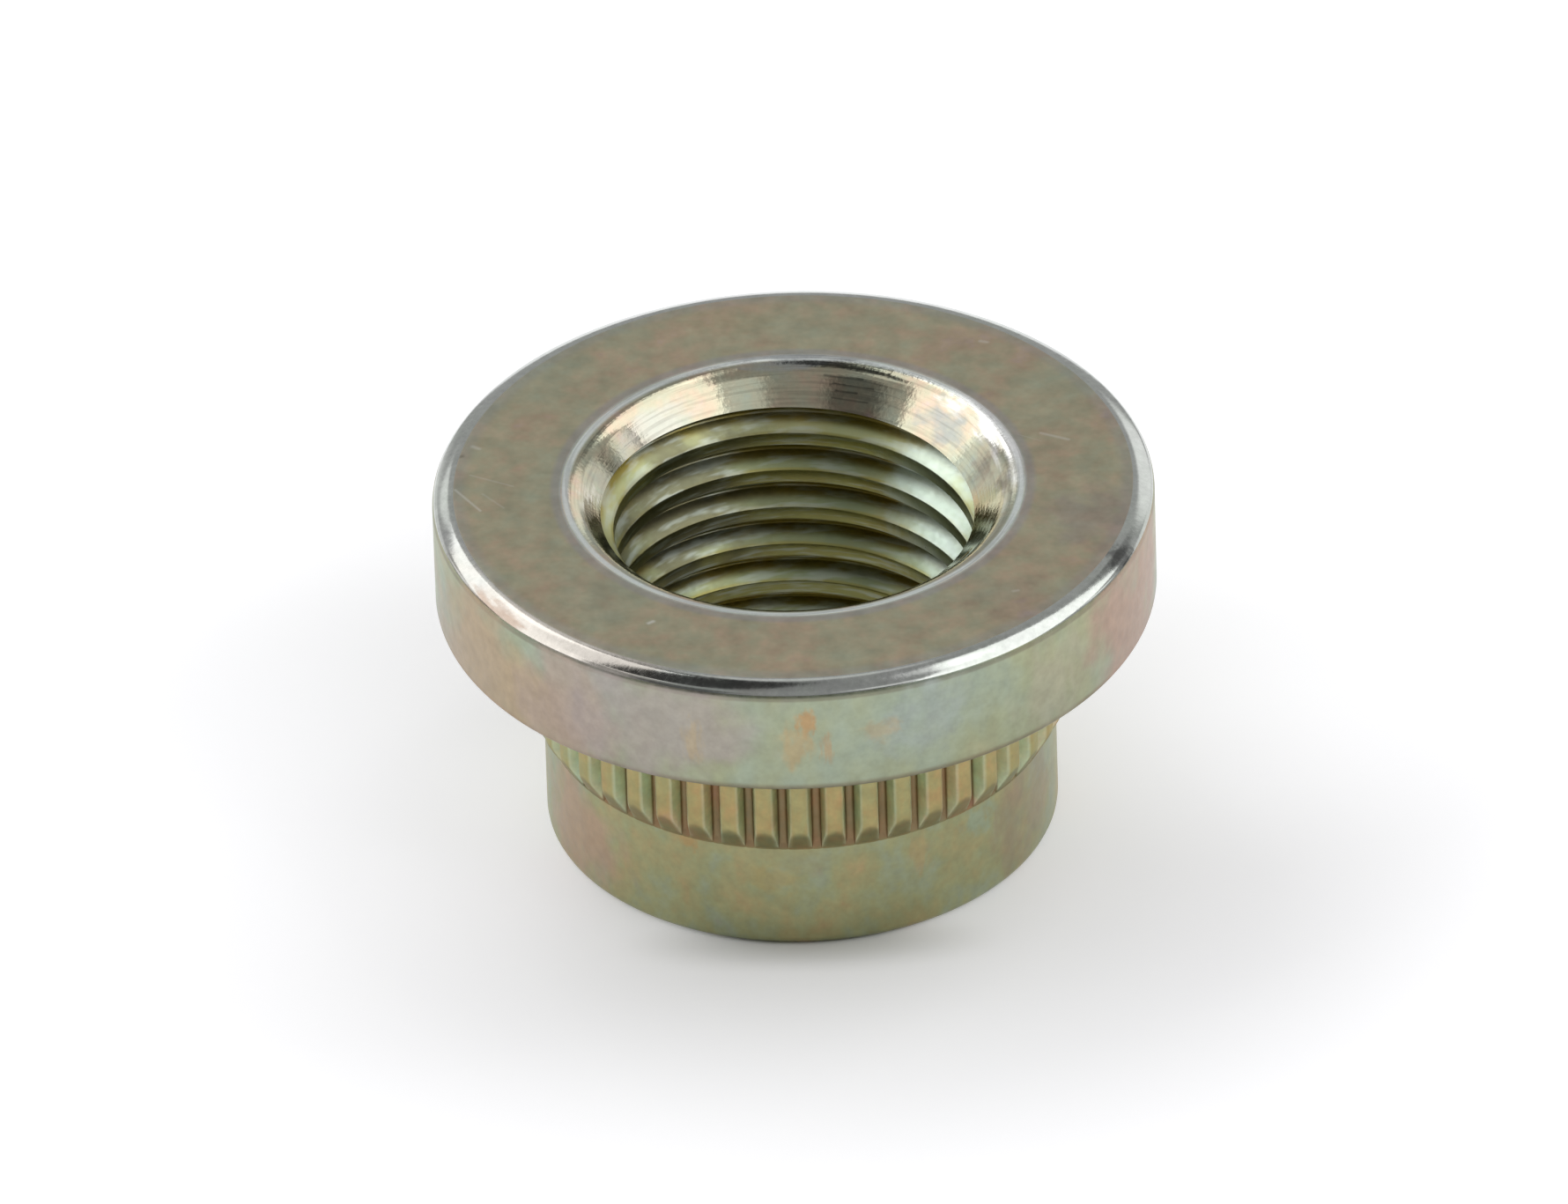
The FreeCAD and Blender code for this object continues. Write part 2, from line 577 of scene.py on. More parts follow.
class GroupTree(NodeTree):
    """A node group in the making. Its inputs are sockets by name in `given`."""

    def __init__(self, name: str, kind: str, inputs: dict[str, str]) -> None:
        """Start a group.

        Args:
            name: The group's name.
            kind: The tree's type name.
            inputs: Each input's socket type, by name.
        """
        super().__init__(bpy.data.node_groups.new(name, kind))
        for title, socket_type in inputs.items():
            self.tree.interface.new_socket(name=title, in_out="INPUT", socket_type=socket_type)
        self.given = self.add("NodeGroupInput").outputs

    def finished(self, outputs: dict[str, bpy.types.NodeSocket]) -> bpy.types.NodeTree:
        """Give the group its outputs and return its tree.

        Args:
            outputs: The socket that feeds each output, by name.

        Returns:
            The group's tree.
        """
        for title, socket in outputs.items():
            self.tree.interface.new_socket(name=title, in_out="OUTPUT", socket_type=socket.bl_idname)
        self.add("NodeGroupOutput", outputs)
        return self.tree


GEOMETRY_TREE = "GeometryNodeTree"
SHADER_TREE = "ShaderNodeTree"
GEOMETRY = "NodeSocketGeometry"
FLOAT = "NodeSocketFloat"
INTEGER = "NodeSocketInt"
VECTOR = "NodeSocketVector"


def floats(*names: str) -> dict[str, str]:
    """Return a number input for each name."""
    return dict.fromkeys(names, FLOAT)


class Patterns:
    """The Geometry Nodes trees that repeat a sector round the axis, end the tap and cut the thread."""

    # No point of the tap comes closer to the axis than this in the division by its radius, in metres.
    LEAST_RADIUS = 1e-9

    def __init__(self) -> None:
        """Build the three trees."""
        self.sector_pattern = self._sector_pattern()
        self.plain_ends = self._plain_ends()
        self.tapping = self._tapping()

    @staticmethod
    def _welded(nodes: GroupTree, geometry: bpy.types.NodeSocket) -> bpy.types.NodeTree:
        """Finish a tree by welding the points that lie closer together than its Weld Distance."""
        inputs = {"Geometry": geometry, "Distance": nodes.given["Weld Distance"]}
        return nodes.finished({"Geometry": nodes.add("GeometryNodeMergeByDistance", inputs).outputs[0]})

    def _sector_pattern(self) -> bpy.types.NodeTree:
        """Build the tree that repeats a sector round the axis, each copy a little higher, and welds all."""
        inputs = {"Sector": GEOMETRY, "Copies": INTEGER, **floats("Rise Per Turn", "Weld Distance")}
        nodes = GroupTree("sector pattern", GEOMETRY_TREE, inputs)
        copies = nodes.given["Copies"]
        rise = nodes.math("DIVIDE", nodes.given["Rise Per Turn"], copies)
        offset = nodes.combine(0.0, 0.0, rise)
        line = nodes.add("GeometryNodeMeshLine", {"Count": copies, "Offset": offset}, mode="OFFSET")
        index = nodes.add("GeometryNodeInputIndex").outputs[0]
        angle = nodes.math("MULTIPLY", index, nodes.math("DIVIDE", 2 * math.pi, copies))
        placed = nodes.add(
            "GeometryNodeInstanceOnPoints",
            {
                "Points": line.outputs[0],
                "Instance": nodes.given["Sector"],
                "Rotation": nodes.combine(0.0, 0.0, angle),
            },
        )
        real = nodes.add("GeometryNodeRealizeInstances", {"Geometry": placed.outputs[0]})
        return self._welded(nodes, real.outputs[0])

    def _plain_ends(self) -> bpy.types.NodeTree:
        """Build the tree that fades a screw into plain shanks past its ends and cuts them off square."""
        lengths = floats("Bottom", "Top", "Fade Length", "Plain Radius", "Full Radius", "Weld Distance")
        nodes = GroupTree("plain ends", GEOMETRY_TREE, {"Screw": GEOMETRY, **lengths})
        given = nodes.given
        fade = given["Fade Length"]
        x, y, height = nodes.split(nodes.add("GeometryNodeInputPosition").outputs[0])
        below = nodes.math("SUBTRACT", given["Bottom"], height)
        above = nodes.math("SUBTRACT", height, given["Top"])
        faded = nodes.math("DIVIDE", nodes.math("MAXIMUM", below, above), fade, clamp=True)
        radii = {"Factor": faded, "A": given["Full Radius"], "B": given["Plain Radius"]}
        limit = nodes.add("ShaderNodeMix", radii).outputs[0]
        flat = nodes.combine(x, y, 0.0)
        radius = nodes.math("MAXIMUM", nodes.vector_math("LENGTH", flat), self.LEAST_RADIUS)
        scale = nodes.math("MINIMUM", nodes.math("DIVIDE", limit, radius), 1.0)
        drawn_x, drawn_y, _ = nodes.split(nodes.scaled(flat, scale))
        raised = nodes.math("MAXIMUM", height, nodes.math("SUBTRACT", given["Bottom"], fade))
        cut = nodes.math("MINIMUM", raised, nodes.math("ADD", given["Top"], fade))
        target = nodes.combine(drawn_x, drawn_y, cut)
        moved = nodes.add("GeometryNodeSetPosition", {"Geometry": given["Screw"], "Position": target})
        return self._welded(nodes, moved.outputs[0])

    def _tapping(self) -> bpy.types.NodeTree:
        """Build the tree that cuts the tap out of the blank and gives the result its finish."""
        inputs = {"Blank": GEOMETRY, "Tap": "NodeSocketObject", "Finish": "NodeSocketMaterial"}
        nodes = GroupTree("tapping", GEOMETRY_TREE, inputs)
        tap = nodes.add("GeometryNodeObjectInfo", {"Object": nodes.given["Tap"]})
        meshes = {"Mesh 1": nodes.given["Blank"], "Mesh 2": tap.outputs["Geometry"]}
        cut = nodes.add("GeometryNodeMeshBoolean", meshes, operation="DIFFERENCE", solver="MANIFOLD")
        real = nodes.add("GeometryNodeRealizeInstances", {"Geometry": cut.outputs["Mesh"]})
        finish = {"Geometry": real.outputs[0], "Material": nodes.given["Finish"]}
        return nodes.finished({"Geometry": nodes.add("GeometryNodeSetMaterial", finish).outputs[0]})


def add_tree(target: bpy.types.Object, tree: bpy.types.NodeTree, values: dict[str, object]) -> None:
    """Put a Geometry Nodes tree on an object and set its named inputs.

    Args:
        target: The object that gets the modifier.
        tree: The tree.
        values: A value for each input that isn't the geometry, by name.
    """
    modifier = target.modifiers.new(tree.name, "NODES")
    modifier.node_group = tree
    for item in tree.interface.items_tree:
        if item.item_type == "SOCKET" and item.in_out == "INPUT" and item.name in values:
            modifier[item.identifier] = values[item.name]


def baked_mesh(source: bpy.types.Object, name: str) -> bpy.types.Mesh:
    """Return the plain mesh that an object's modifiers give."""
    depsgraph = bpy.context.evaluated_depsgraph_get()
    evaluated = source.evaluated_get(depsgraph)
    mesh = bpy.data.meshes.new_from_object(evaluated, preserve_all_data_layers=True, depsgraph=depsgraph)
    mesh.name = name
    return mesh


class Surface(Enum):
    """The nut's kinds of surface, each with its own finish. The value is the material's place in the mesh."""

    FACE = 0
    RIM_BEVEL = 1
    FLANGE_WALL = 2
    COLLAR = 3
    PILOT = 4
    COUNTERSINK = 5
    THREAD = 6


TURNED_SURFACES = frozenset(
    {Surface.FACE, Surface.RIM_BEVEL, Surface.FLANGE_WALL, Surface.PILOT, Surface.COUNTERSINK}
)


@dataclass
class NutBody:
    """The finished nut: blank and tap are made, the tap is cut out, and every face gets its finish.

    Attributes:
        sizes: The nut's sizes.
        smooth_angle: Edges that turn by more stay sharp, in degrees.
        inward_lean: A face of the bore leans at least this far towards the axis, as a share of its normal.
        cone_lean: How far a countersink face's upright share may be from that of a true cone.
        cone_distance: How far its middle may lie off the cone.
        mouth_height: Up to here, faces round the bore belong to the pilot end's mouth.
        rim_height: Height of the zone at the top in which face, bevel and wall meet.
        wall_lean: A wall's face leans outwards by more than this share.
        bevel_lean: A bevel's face leans outwards by more than this share.
        bevel_margin: How far the bevel's blend reaches into the top face.
        seat_margin: How far over the flange's underside its flat faces may lie.
        collar_margin: How far outside the ribs a face belongs to the flange.
        foot_margin: How far under the ribs their feet reach.
    """

    sizes: NutSizes
    smooth_angle: float = 42.0
    inward_lean: float = 0.02
    cone_lean: float = 0.06
    cone_distance: float = 0.004
    mouth_height: float = 0.08
    rim_height: float = 0.3
    wall_lean: float = 0.8
    bevel_lean: float = 0.1
    bevel_margin: float = 0.16
    seat_margin: float = 0.001
    collar_margin: float = 0.04
    foot_margin: float = 0.06

    def build(self, patterns: Patterns, materials: dict[Surface, bpy.types.Material]) -> bpy.types.Object:
        """Build the nut's finished piece.

        Args:
            patterns: The Geometry Nodes trees.
            materials: A material for each kind of surface.

        Returns:
            The piece as a plain mesh object with its place in its mesh.
        """
        sizes = self.sizes
        blank = RibbedBlank(sizes).build_sector()
        ring = {"Copies": sizes.rib_count, "Rise Per Turn": 0.0, "Weld Distance": WELD_DISTANCE}
        add_tree(blank, patterns.sector_pattern, ring)
        tap = ThreadTap(sizes).build(patterns)
        add_tree(blank, patterns.tapping, {"Tap": tap, "Finish": materials[Surface.FACE]})
        mesh = baked_mesh(blank, PIECE_NAME)
        for spent in (blank, tap):
            bpy.data.objects.remove(spent)
        piece = bpy.data.objects.new(PIECE_NAME, mesh)
        bpy.context.scene.collection.objects.link(piece)
        self._sort_faces(mesh, materials)
        self._smooth(piece)
        return piece

    def _smooth(self, piece: bpy.types.Object) -> None:
        """Smooth the piece with face weighted normals that don't lean sideways on a turned surface."""
        piece.data.shade_smooth()
        piece.data.set_sharp_from_angle(angle=math.radians(self.smooth_angle))
        self._mark_thread_border(piece.data)
        weighted = piece.modifiers.new("face weighted normals", "WEIGHTED_NORMAL")
        weighted.keep_sharp = True
        mesh = baked_mesh(piece, PIECE_NAME)
        piece.modifiers.clear()
        piece.data = mesh
        normals = [corner.vector.copy() for corner in mesh.corner_normals]
        for polygon in mesh.polygons:
            if Surface(polygon.material_index) not in TURNED_SURFACES:
                continue
            for corner in polygon.loop_indices:
                place = mesh.vertices[mesh.loops[corner].vertex_index].co
                sideways = Vector((-place.y, place.x, 0)).normalized()
                level = normals[corner] - sideways * normals[corner].dot(sideways)
                normals[corner] = level.normalized()
        mesh.normals_split_custom_set(normals)

    def _mark_thread_border(self, mesh: bpy.types.Mesh) -> None:
        """Mark the edges along which the thread breaks out of the countersinks as sharp."""
        surfaces = {}
        for polygon in mesh.polygons:
            for key in polygon.edge_keys:
                surfaces.setdefault(key, set()).add(Surface(polygon.material_index))
        for edge in mesh.edges:
            if surfaces[edge.key] == {Surface.COUNTERSINK, Surface.THREAD}:
                edge.use_edge_sharp = True

    def _sort_faces(self, mesh: bpy.types.Mesh, materials: dict[Surface, bpy.types.Material]) -> None:
        """Give each face the finish of the surface that it lies on."""
        mesh.materials.clear()
        for surface in Surface:
            mesh.materials.append(materials[surface])
        for polygon in mesh.polygons:
            polygon.material_index = self._surface_at(polygon.center / MM, polygon.normal).value

    def _surface_at(self, place: Vector, normal: Vector) -> Surface:
        """Tell which kind of surface a face belongs to.

        Args:
            place: The face's middle, in millimetres.
            normal: The direction that the face looks in.

        Returns:
            The kind of surface.
        """
        sizes = self.sizes
        radius = math.hypot(place.x, place.y)
        outward = (normal.x * place.x + normal.y * place.y) / radius
        if radius < sizes.countersink_radius + sizes.lip_reach and outward < -self.inward_lean:
            off_top_cone = radius - (place.z - sizes.total_height + sizes.countersink_radius)
            off_pilot_cone = radius - (sizes.pilot_countersink_radius - place.z)
            off_cone = min(abs(off_top_cone), abs(off_pilot_cone))
            on_cone = abs(abs(normal.z) - DIAGONAL) < self.cone_lean and off_cone < self.cone_distance
            on_lip = place.z > sizes.total_height - sizes.lip_reach or place.z < self.mouth_height
            return Surface.COUNTERSINK if on_cone or on_lip else Surface.THREAD
        if place.z > sizes.total_height - self.rim_height:
            if outward > self.wall_lean:
                return Surface.FLANGE_WALL
            bevel_start = sizes.flange_radius - sizes.edge_bevel_width - self.bevel_margin
            bevelled = radius > bevel_start and outward > self.bevel_lean
            return Surface.RIM_BEVEL if bevelled else Surface.FACE
        over_seat = place.z > sizes.flange_underside + self.seat_margin
        if over_seat or radius > sizes.collar_radius + self.collar_margin:
            return Surface.FLANGE_WALL
        if place.z > sizes.pilot_length - self.foot_margin:
            return Surface.COLLAR
        return Surface.PILOT


# What a band or the turning marks are measured along: how much a point's radius, its height and its distance
# from the middle of the nearest rib count.
OUTWARD = (1.0, 0.0, 0.0)
UPWARD = (0.0, 1.0, 0.0)
OFF_RIB = (0.0, 0.0, 1.0)
ALONG_CONE = (DIAGONAL, DIAGONAL, 0.0)
TO_LOWER_EDGE = (DIAGONAL, -DIAGONAL, 0.0)


@dataclass(frozen=True)
class FilmStop:
    """One colour of the passivation film.

    Attributes:
        thickness: Its place on the film's scale from 0 to 1, which runs round.
        tint: What it multiplies the metal's colour by.
    """

    thickness: float
    tint: Colour


FILM_STOPS = (
    FilmStop(0.0, (0.93, 1.0, 1.06)),
    FilmStop(0.14, (0.89, 1.05, 0.99)),
    FilmStop(0.30, (0.95, 1.03, 0.80)),
    FilmStop(0.44, (1.04, 1.0, 0.74)),
    FilmStop(0.56, (1.17, 0.96, 0.72)),
    FilmStop(0.70, (1.15, 0.93, 0.94)),
    FilmStop(0.86, (1.03, 0.96, 1.08)),
    FilmStop(1.0, (0.93, 1.0, 1.06)),
)


@dataclass(frozen=True)
class Band:
    """A ring of another colour round the nut: a tone of the metal, or painted shade or highlight. Lengths are
    in millimetres.

    Attributes:
        across: What it is measured along.
        middle: Where its middle lies on that coordinate.
        half_width: Half of its width, at full strength.
        softness: Width of the fade beyond that.
        colour: The colour there: the metal's own, or painted shade or highlight.
        strength: How much of that colour shows.
        film: How much of the film's tint stays.
    """

    across: Place
    middle: float
    half_width: float
    softness: float
    colour: Colour
    strength: float = 1.0
    film: float = 1.0


@dataclass(frozen=True)
class Blotch:
    """One soft, ragged blotch: a tone of the film, or painted light or shade. Lengths are in millimetres.

    Attributes:
        middle: Where it lies.
        reach: How far it goes along X, Y and Z.
        colour: Its colour.
        strength: How much of that colour shows.
    """

    middle: Place
    reach: Place
    colour: Colour
    strength: float = 0.6


@dataclass(frozen=True)
class Scratch:
    """One straight scratch. Lengths are in millimetres.

    Attributes:
        start: One end.
        end: The other end.
        width: Half of its width.
        strength: How bright it is, from -1, dark, to 1, bright.
    """

    start: Place
    end: Place
    width: float = 0.05
    strength: float = 0.5


@dataclass(frozen=True)
class Finish:
    """The look of one kind of surface. Lengths are in millimetres.

    Attributes:
        metal: Colour of the metal under the film.
        film: Middle of the film's thickness, from 0 to 1.
        film_spread: How far the thickness wanders from place to place.
        blotch_size: Size of the film's blotches.
        blotch_stretch: How much longer they are along the axis.
        roughness: Middle of the roughness.
        roughness_spread: How far the roughness wanders.
        satin_size: Size of the satin's grains.
        satin_height: Height of those grains.
        satin_contrast: How much the grains lighten and darken the colour.
        mottle_size: Size of the larger, faint spots.
        mottle_contrast: How much those spots lighten and darken the colour.
        mark_across: What the turning marks lie across.
        mark_pitch: Distance between the marks.
        mark_run: How long a mark goes on, as a share of a radian.
        mark_height: Depth of the marks.
        mark_strength: How much the marks show in the colour.
        mark_colour: Colour of the marks.
        wave_height: Height of the long, shallow waves in the surface.
        bands: Rings of another colour, some of them painted shade or highlight.
        blotches: Single blotches that stand out, some of them painted light or shade.
        scratches: Single scratches.
    """

    metal: Colour
    film: float
    film_spread: float = 0.16
    blotch_size: float = 1.5
    blotch_stretch: float = 1.0
    roughness: float = 0.33
    roughness_spread: float = 0.06
    satin_size: float = 0.10
    satin_height: float = 0.003
    satin_contrast: float = 0.10
    mottle_size: float = 0.55
    mottle_contrast: float = 0.0
    mark_across: Place = OUTWARD
    mark_pitch: float = 0.10
    mark_run: float = 0.5
    mark_height: float = 0.0
    mark_strength: float = 0.0
    mark_colour: Colour = (0.1, 0.09, 0.07)
    wave_height: float = 0.0
    bands: tuple[Band, ...] = ()
    blotches: tuple[Blotch, ...] = ()
    scratches: tuple[Scratch, ...] = ()


class FinishGroups:
    """The shader node groups that the finishes share. Their lengths are in millimetres."""

    # The film's fine pattern: how much finer it is than the broad one, and how much it counts beside it.
    FINER = (4.3, 4.3, 4.3)
    FINE_SHARE = 0.45
    # The middle level of the broad pattern plus that share of the fine one.
    BOTH_MIDDLE = 0.725
    # Noise keeps near its middle, so it is spread by this factor.
    NOISE_GAIN = 4.0
    # Where a turning mark begins to show on the noise, and where it shows in full.
    MARK_LEVELS = (0.46, 0.66)
    # How fine a blotch's ragged edge is, how ragged, and at what share of its reach it starts to fade.
    RAGGEDNESS = (2.3, 2.3, 1.7)
    RAGGED_DEPTH = 2.2
    BLOTCH_CORE = 0.25

    def __init__(self, rib_count: int) -> None:
        """Build the groups.

        Args:
            rib_count: How many ribs the collar has. A rib is centred on +X.
        """
        self.position = self._position(rib_count)
        self.film = self._film()
        self.satin = self._satin()
        self.turning_marks = self._turning_marks()
        self.band = self._band()
        self.blotch = self._blotch()
        self.scratch = self._scratch()

    def _position(self, rib_count: int) -> bpy.types.NodeTree:
        """Build the group that turns Object coordinates into places, directions and measures on the nut."""
        nodes = GroupTree("position on nut", SHADER_TREE, {"Object": VECTOR})
        place = nodes.scaled(nodes.given["Object"], 1 / MM)
        x, y, z = nodes.split(place)
        flat = nodes.combine(x, y, 0.0)
        radius = nodes.vector_math("LENGTH", flat)
        rib_pitch = 2 * math.pi / rib_count
        ribs = nodes.math("DIVIDE", nodes.math("ARCTAN2", y, x), rib_pitch)
        off_rib = nodes.math("ABSOLUTE", nodes.math("SUBTRACT", ribs, nodes.math("ROUND", ribs)))
        sideways = nodes.math("MULTIPLY", nodes.math("MULTIPLY", off_rib, rib_pitch), radius)
        outward = nodes.vector_math("NORMALIZE", flat)
        measures = nodes.combine(radius, z, sideways)
        return nodes.finished({"Place": place, "Direction": outward, "Measures": measures})

    def _film(self) -> bpy.types.NodeTree:
        """Build the group for the film: blotches of changing thickness, each with its tint."""
        inputs = {"Place": VECTOR, **floats("Size", "Stretch", "Thickness", "Spread", "Seed")}
        nodes = GroupTree("passivation film", SHADER_TREE, inputs)
        given = nodes.given
        across = nodes.math("DIVIDE", 1.0, given["Size"])
        along = nodes.math("DIVIDE", across, given["Stretch"])
        broad_place = nodes.vector_math("MULTIPLY", given["Place"], nodes.combine(across, across, along))
        broad = nodes.noise(broad_place, given["Seed"], 3.0)
        fine = nodes.noise(nodes.vector_math("MULTIPLY", broad_place, self.FINER), given["Seed"], 3.0)
        off_middle = nodes.math("SUBTRACT", broad, self.BOTH_MIDDLE)
        both = nodes.math("MULTIPLY_ADD", fine, self.FINE_SHARE, off_middle)
        wander = nodes.math("MULTIPLY", both, nodes.math("MULTIPLY", given["Spread"], self.NOISE_GAIN))
        level = nodes.math("FRACT", nodes.math("ADD", given["Thickness"], wander))
        stops = [(stop.thickness, stop.tint) for stop in FILM_STOPS]
        return nodes.finished({"Tint": nodes.ramp(level, stops)})

    def _satin(self) -> bpy.types.NodeTree:
        """Build the group for the satin's fine grains."""
        nodes = GroupTree("satin grains", SHADER_TREE, {"Place": VECTOR, **floats("Size", "Seed")})
        finer = nodes.math("DIVIDE", 1.0, nodes.given["Size"])
        place = nodes.vector_math("MULTIPLY", nodes.given["Place"], nodes.combine(finer, finer, finer))
        return nodes.finished({"Height": nodes.noise(place, nodes.given["Seed"], 2.0)})

    def _turning_marks(self) -> bpy.types.NodeTree:
        """Build the group for the fine marks that the lathe leaves round the axis."""
        inputs = {"Direction": VECTOR, **floats("Along", "Pitch", "Run", "Seed")}
        nodes = GroupTree("turning marks", SHADER_TREE, inputs)
        given = nodes.given
        x, y, _ = nodes.split(given["Direction"])
        place = nodes.combine(
            nodes.math("DIVIDE", given["Along"], given["Pitch"]),
            nodes.math("DIVIDE", x, given["Run"]),
            nodes.math("DIVIDE", y, given["Run"]),
        )
        height = nodes.noise(place, given["Seed"], 2.0)
        mask = nodes.math("SUBTRACT", 1.0, nodes.fade(height, *self.MARK_LEVELS))
        return nodes.finished({"Height": height, "Mask": mask})

    def _band(self) -> bpy.types.NodeTree:
        """Build the group for a ring round the nut."""
        inputs = floats("Along", "Middle", "Half Width", "Softness")
        nodes = GroupTree("ring band", SHADER_TREE, inputs)
        given = nodes.given
        away = nodes.math("ABSOLUTE", nodes.math("SUBTRACT", given["Along"], given["Middle"]))
        end = nodes.math("ADD", given["Half Width"], given["Softness"])
        return nodes.finished({"Mask": nodes.fade(away, given["Half Width"], end)})

    def _blotch(self) -> bpy.types.NodeTree:
        """Build the group for one soft blotch with a ragged edge."""
        inputs = {"Place": VECTOR, "Middle": VECTOR, "Reach": VECTOR, "Seed": FLOAT}
        nodes = GroupTree("single blotch", SHADER_TREE, inputs)
        given = nodes.given
        away = nodes.vector_math("SUBTRACT", given["Place"], given["Middle"])
        share = nodes.vector_math("DIVIDE", away, given["Reach"])
        distance = nodes.vector_math("LENGTH", share)
        ragged = nodes.vector_math("MULTIPLY", share, self.RAGGEDNESS)
        rough = nodes.math("SUBTRACT", nodes.noise(ragged, given["Seed"], 5.0), 0.5)
        edge = nodes.math("MULTIPLY_ADD", rough, self.RAGGED_DEPTH, distance)
        return nodes.finished({"Mask": nodes.fade(edge, self.BLOTCH_CORE, 1.0)})

    def _scratch(self) -> bpy.types.NodeTree:
        """Build the group for one straight scratch."""
        inputs = {"Place": VECTOR, "Start": VECTOR, "End": VECTOR, "Width": FLOAT}
        nodes = GroupTree("single scratch", SHADER_TREE, inputs)
        given = nodes.given
        line = nodes.vector_math("SUBTRACT", given["End"], given["Start"])
        arm = nodes.vector_math("SUBTRACT", given["Place"], given["Start"])
        along = nodes.vector_math("DOT_PRODUCT", arm, line)
        whole = nodes.vector_math("DOT_PRODUCT", line, line)
        nearest = nodes.scaled(line, nodes.math("DIVIDE", along, whole, clamp=True))
        distance = nodes.vector_math("DISTANCE", arm, nearest)
        return nodes.finished({"Mask": nodes.fade(distance, 0.0, given["Width"])})


class Dressing(NodeTree):
    """One surface's material in the making, laid out of the shared groups."""

    # Seeds lie off the whole numbers, where the noise is flat.
    SURFACE_SEED = 0.3
    BLOTCH_SEED = 0.4
    WAVE_SEED = 3.4
    MOTTLE_SEED_STEP = 7
    ROUGHNESS_GAIN = 4
    BRIGHT_SCRATCH = (0.85, 0.85, 0.80)
    DARK_SCRATCH = (0.05, 0.05, 0.04)

    def __init__(self, groups: FinishGroups, surface: Surface, finish: Finish) -> None:
        """Start the material with its grains and its turning marks.

        Args:
            groups: The shared groups.
            surface: The kind of surface. It names the material and seeds its patterns.
            finish: How the surface looks.
        """
        self.material = bpy.data.materials.new(surface.name.lower())
        self.material.use_nodes = True
        super().__init__(self.material.node_tree)
        self.groups = groups
        self.finish = finish
        self.seed = surface.value + self.SURFACE_SEED
        coordinates = self.add("ShaderNodeTexCoord").outputs["Object"]
        self.where = self.group(groups.position, {"Object": coordinates})
        self.satin = self._grains(finish.satin_size, self.seed)
        self.marks = self.group(
            groups.turning_marks,
            {
                "Along": self._coordinate(finish.mark_across),
                "Direction": self.where["Direction"],
                "Pitch": finish.mark_pitch,
                "Run": finish.mark_run,
                "Seed": self.seed,
            },
        )

    def build(self) -> bpy.types.Material:
        """Lay out the rest of the material and return it."""
        spread = self.finish.roughness_spread * self.ROUGHNESS_GAIN
        wander = self.math("MULTIPLY", self._off_middle(self.satin), spread)
        inputs = self.tree.nodes["Principled BSDF"].inputs
        inputs["Metallic"].default_value = 1
        self.feed(inputs["Base Color"], self._colour())
        self.feed(inputs["Roughness"], self.math("ADD", wander, self.finish.roughness, clamp=True))
        self.feed(inputs["Normal"], self._relief())
        return self.material

    def _coordinate(self, across: Place) -> bpy.types.NodeSocket:
        """Work out the coordinate that a band or the turning marks are measured along."""
        return self.vector_math("DOT_PRODUCT", self.where["Measures"], across)

    def _grains(self, size: float, seed: float) -> bpy.types.NodeSocket:
        """Return the height of grains of a size."""
        inputs = {"Place": self.where["Place"], "Size": size, "Seed": seed}
        return self.group(self.groups.satin, inputs)["Height"]

    def _off_middle(self, height: bpy.types.NodeSocket) -> bpy.types.NodeSocket:
        """Return how far a height from 0 to 1 is above its middle."""
        return self.math("SUBTRACT", height, 0.5)

    def _painted(
        self, under: object, mask: bpy.types.NodeSocket, strength: float, over: object
    ) -> bpy.types.NodeSocket:
        """Lay a colour over another where a mask shows, at some strength."""
        return self.mix(self.math("MULTIPLY", mask, strength), under, over)

    def _colour(self) -> bpy.types.NodeSocket:
        """Work out the colour: metal and bands, film, blotches, grains, marks and then scratches."""
        finish = self.finish
        place = self.where["Place"]
        film = {
            "Place": place,
            "Size": finish.blotch_size,
            "Stretch": finish.blotch_stretch,
            "Thickness": finish.film,
            "Spread": finish.film_spread,
            "Seed": self.seed,
        }
        tint = self.group(self.groups.film, film)["Tint"]
        colour: object = finish.metal
        for band in finish.bands:
            ring = {
                "Along": self._coordinate(band.across),
                "Middle": band.middle,
                "Half Width": band.half_width,
                "Softness": band.softness,
            }
            mask = self.group(self.groups.band, ring)["Mask"]
            colour = self._painted(colour, mask, band.strength, band.colour)
            if band.film < 1:
                tint = self._painted(tint, mask, band.strength * (1 - band.film), WHITE)
        colour = self.mix(1.0, colour, tint, "MULTIPLY")
        for number, blotch in enumerate(finish.blotches):
            seed = number + self.BLOTCH_SEED
            spot = {"Place": place, "Middle": blotch.middle, "Reach": blotch.reach, "Seed": seed}
            mask = self.group(self.groups.blotch, spot)["Mask"]
            colour = self._painted(colour, mask, blotch.strength, blotch.colour)
        mottle = self._grains(finish.mottle_size, self.seed + self.MOTTLE_SEED_STEP)
        for grains, contrast in ((self.satin, finish.satin_contrast), (mottle, finish.mottle_contrast)):
            level = self.math("MULTIPLY_ADD", self._off_middle(grains), 2 * contrast, 1.0)
            colour = self.mix(1.0, colour, self.combine(level, level, level), "MULTIPLY")
        colour = self._painted(colour, self.marks["Mask"], finish.mark_strength, finish.mark_colour)
        for scratch in finish.scratches:
            line = {"Place": place, "Start": scratch.start, "End": scratch.end, "Width": scratch.width}
            mask = self.group(self.groups.scratch, line)["Mask"]
            shade = self.BRIGHT_SCRATCH if scratch.strength > 0 else self.DARK_SCRATCH
            colour = self._painted(colour, mask, abs(scratch.strength), shade)
        return colour

